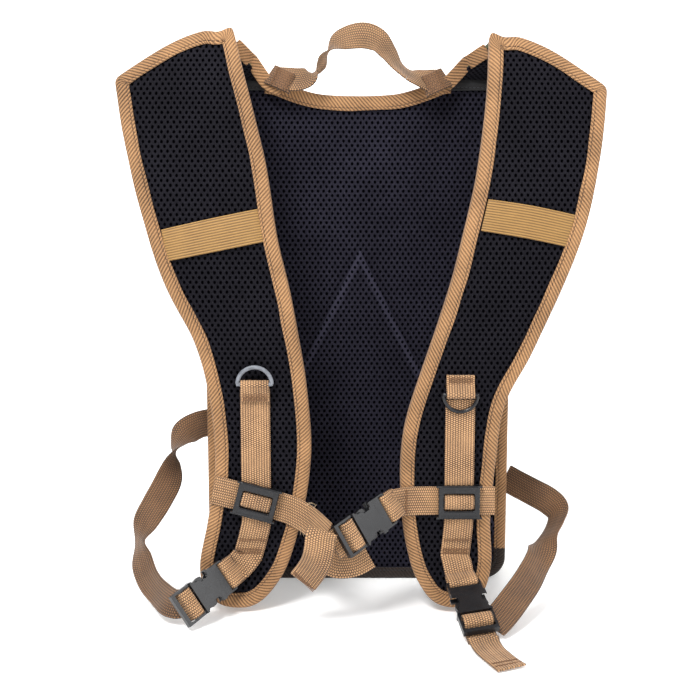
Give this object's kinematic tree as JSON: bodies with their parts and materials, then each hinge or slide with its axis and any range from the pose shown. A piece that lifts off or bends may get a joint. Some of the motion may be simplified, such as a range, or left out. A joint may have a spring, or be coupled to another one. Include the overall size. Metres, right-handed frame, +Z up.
{
  "type": "vest-style harness pack",
  "caption": "Slim camouflage harness pack with wide air-mesh shoulder straps, brown bound edges, a haul handle, a sternum strap and clipped side webbings.",
  "frame": {"origin": "middle of the back panel's face at the bottom of the pack, on the ground", "axes": "+Z up the pack; +Y from the shoulder straps towards the bag; +X to the right seen from the strap side"},
  "size_m": [0.41, 0.3173, 0.5078],
  "materials": {
    "air_mesh": "spacer air mesh with staggered holes, matt",
    "foam": "closed-cell foam, not seen",
    "lining": "coated lining",
    "camo_cloth": null,
    "binding_tape": "herringbone edge binding with stitch line",
    "dark_binding": "dark edge binding",
    "dark_webbing": "webbing folded and bar-tacked, darker",
    "webbing": "ribbed polypropylene webbing",
    "elastic": "ribbed woven elastic",
    "zip_tape": "coil zip on woven tape",
    "zip_metal": "painted metal, satin",
    "buckle_plastic": "moulded acetal, satin",
    "ring_plastic": "moulded acetal, lighter grey"
  },
  "bodies": {
    "pack": {"back_panel_mesh": "air_mesh", "back_panel_foam": "foam", "back_panel_lining": "lining", "bag_shell": "camo_cloth", "side_binding": "binding_tape", "bottom_binding": "dark_binding", "neck_binding": "binding_tape", "handle_ends": "dark_webbing", "main_zipper": "zip_tape", "left_side_webbing": "webbing", "right_side_webbing": "webbing"},
    "handle": {"haul_handle": "webbing"},
    "flap": {"rear_flap": "camo_cloth", "pocket_shell": "camo_cloth", "pocket_zipper": "zip_tape"},
    "pocket_zip": {"pocket_zip_slider": "zip_metal"},
    "left_zip": {"left_zip_slider": "zip_metal"},
    "left_pull": {"left_zip_pull": "zip_metal"},
    "right_zip": {"right_zip_slider": "zip_metal"},
    "right_pull": {"right_zip_pull": "zip_metal"},
    "left_strap": {"left_yoke": "camo_cloth", "left_strap_mesh": "air_mesh", "left_strap_foam": "foam", "left_strap_backing": "camo_cloth", "left_strap_binding": "binding_tape", "left_keeper": "elastic", "left_strap_webbing": "webbing", "left_ring_loop": "webbing", "left_plug": "buckle_plastic"},
    "right_strap": {"right_yoke": "camo_cloth", "right_strap_mesh": "air_mesh", "right_strap_foam": "foam", "right_strap_backing": "camo_cloth", "right_strap_binding": "binding_tape", "right_keeper": "elastic", "right_strap_webbing": "webbing", "right_ring_loop": "webbing", "right_plug": "buckle_plastic"},
    "left_ring": {"left_d_ring": "ring_plastic"},
    "right_ring": {"right_d_ring": "buckle_plastic"},
    "left_slider": {"left_sternum_slider": "buckle_plastic", "left_sternum_webbing": "webbing"},
    "right_slider": {"right_sternum_slider": "buckle_plastic", "right_sternum_webbing": "webbing", "sternum_plug": "buckle_plastic"},
    "sternum_buckle": {"sternum_socket": "buckle_plastic", "sternum_tail": "webbing"},
    "left_buckle": {"left_socket": "buckle_plastic"},
    "right_buckle": {"right_socket": "buckle_plastic", "right_tail": "webbing"},
    "sternum_prong_upper": {"sternum_prong_upper": "buckle_plastic"},
    "sternum_prong_lower": {"sternum_prong_lower": "buckle_plastic"},
    "left_prong_front": {"left_prong_front": "buckle_plastic"},
    "left_prong_rear": {"left_prong_rear": "buckle_plastic"},
    "right_prong_front": {"right_prong_front": "buckle_plastic"},
    "right_prong_rear": {"right_prong_rear": "buckle_plastic"}
  },
  "joints": [
    {"name": "handle_swing", "type": "hinge", "parent": "pack", "child": "handle", "pos_m": [0, -0.007, 0.454], "axis": [1, 0, 0], "range_deg": [-60, 24]},
    {"name": "flap_open", "type": "hinge", "parent": "pack", "child": "flap", "pos_m": [0, 0.0723, 0.01], "axis": [-1, 0, 0], "range_deg": [0, 80]},
    {"name": "pocket_zip_slide", "type": "slide", "parent": "flap", "child": "pocket_zip", "axis": [1, 0, 0], "range_m": [0, 0.16]},
    {"name": "left_zip_slide", "type": "slide", "parent": "pack", "child": "left_zip", "axis": [0, 0, 1], "range_m": [-0.33, 0.015]},
    {"name": "left_pull_swing", "type": "hinge", "parent": "left_zip", "child": "left_pull", "pos_m": [-0.1335, 0.0793, 0.4], "axis": [1, 0, 0], "range_deg": [0, 100]},
    {"name": "right_zip_slide", "type": "slide", "parent": "pack", "child": "right_zip", "axis": [0, 0, 1], "range_m": [-0.33, 0.015]},
    {"name": "right_pull_swing", "type": "hinge", "parent": "right_zip", "child": "right_pull", "pos_m": [0.1335, 0.0793, 0.4], "axis": [1, 0, 0], "range_deg": [0, 100]},
    {"name": "left_strap_swing", "type": "hinge", "parent": "pack", "child": "left_strap", "pos_m": [-0.112, -0.002, 0.463], "axis": [-1, 0, 0], "range_deg": [0, 20], "deforming": ["left_side_webbing"]},
    {"name": "right_strap_swing", "type": "hinge", "parent": "pack", "child": "right_strap", "pos_m": [0.112, -0.002, 0.463], "axis": [-1, 0, 0], "range_deg": [0, 20], "deforming": ["right_side_webbing"]},
    {"name": "left_ring_swing", "type": "hinge", "parent": "left_strap", "child": "left_ring", "pos_m": [-0.087, -0.0824, 0.199], "axis": [1, 0, 0], "range_deg": [0, 150]},
    {"name": "right_ring_swing", "type": "hinge", "parent": "right_strap", "child": "right_ring", "pos_m": [0.086, -0.0824, 0.19], "axis": [-1, 0, 0], "range_deg": [0, 150]},
    {"name": "left_slider_slide", "type": "slide", "parent": "left_strap", "child": "left_slider", "axis": [0, 0, 1], "range_m": [-0.004, 0.05]},
    {"name": "right_slider_slide", "type": "slide", "parent": "right_strap", "child": "right_slider", "axis": [0, 0, 1], "range_m": [-0.004, 0.05]},
    {"name": "sternum_release", "type": "slide", "parent": "left_slider", "child": "sternum_buckle", "axis": [-0.7204, -0.5938, -0.3584], "range_m": [0, 0.03], "deforming": ["left_sternum_webbing"]},
    {"name": "left_release", "type": "slide", "parent": "left_strap", "child": "left_buckle", "axis": [-0.6601, -0.6601, -0.3584], "range_m": [0, 0.03], "deforming": ["left_side_webbing"]},
    {"name": "right_release", "type": "slide", "parent": "right_strap", "child": "right_buckle", "axis": [0.1899, -0.8936, -0.4067], "range_m": [0, 0.03], "deforming": ["right_side_webbing"]},
    {"name": "sternum_squeeze", "type": "hinge", "parent": "right_slider", "child": "sternum_prong_upper", "pos_m": [0.01096, -0.09732, 0.09637], "axis": [0.4947, -0.8021, 0.3346], "range_deg": [0, 7], "stiffness_Nm_per_rad": 0.5},
    {"name": "sternum_squeeze_back", "type": "hinge", "parent": "right_slider", "child": "sternum_prong_lower", "pos_m": [0.01912, -0.09839, 0.08173], "axis": [-0.4947, 0.8021, -0.3346], "range_deg": [0, 7], "stiffness_Nm_per_rad": 0.5},
    {"name": "left_squeeze", "type": "hinge", "parent": "left_strap", "child": "left_prong_front", "pos_m": [-0.11636, -0.09776, 0.02306], "axis": [-0.515, 0.7451, -0.4238], "range_deg": [0, 7], "stiffness_Nm_per_rad": 0.5},
    {"name": "left_squeeze_back", "type": "hinge", "parent": "left_strap", "child": "left_prong_rear", "pos_m": [-0.12555, -0.09616, 0.03704], "axis": [0.515, -0.7451, 0.4238], "range_deg": [0, 7], "stiffness_Nm_per_rad": 0.5},
    {"name": "right_squeeze", "type": "hinge", "parent": "right_strap", "child": "right_prong_front", "pos_m": [0.0994, -0.10945, 0.02605], "axis": [0.0181, 0.4174, -0.9085], "range_deg": [0, 7], "stiffness_Nm_per_rad": 0.5},
    {"name": "right_squeeze_back", "type": "hinge", "parent": "right_strap", "child": "right_prong_rear", "pos_m": [0.08291, -0.11222, 0.02445], "axis": [-0.0181, -0.4174, 0.9085], "range_deg": [0, 7], "stiffness_Nm_per_rad": 0.5}
  ],
  "couplings": [
    {"joint": "right_strap_swing", "follows": "left_strap_swing", "ratio": 1},
    {"joint": "right_slider_slide", "follows": "left_slider_slide", "ratio": 1},
    {"joint": "sternum_squeeze_back", "follows": "sternum_squeeze", "ratio": 1},
    {"joint": "left_squeeze_back", "follows": "left_squeeze", "ratio": 1},
    {"joint": "right_squeeze_back", "follows": "right_squeeze", "ratio": 1}
  ]
}
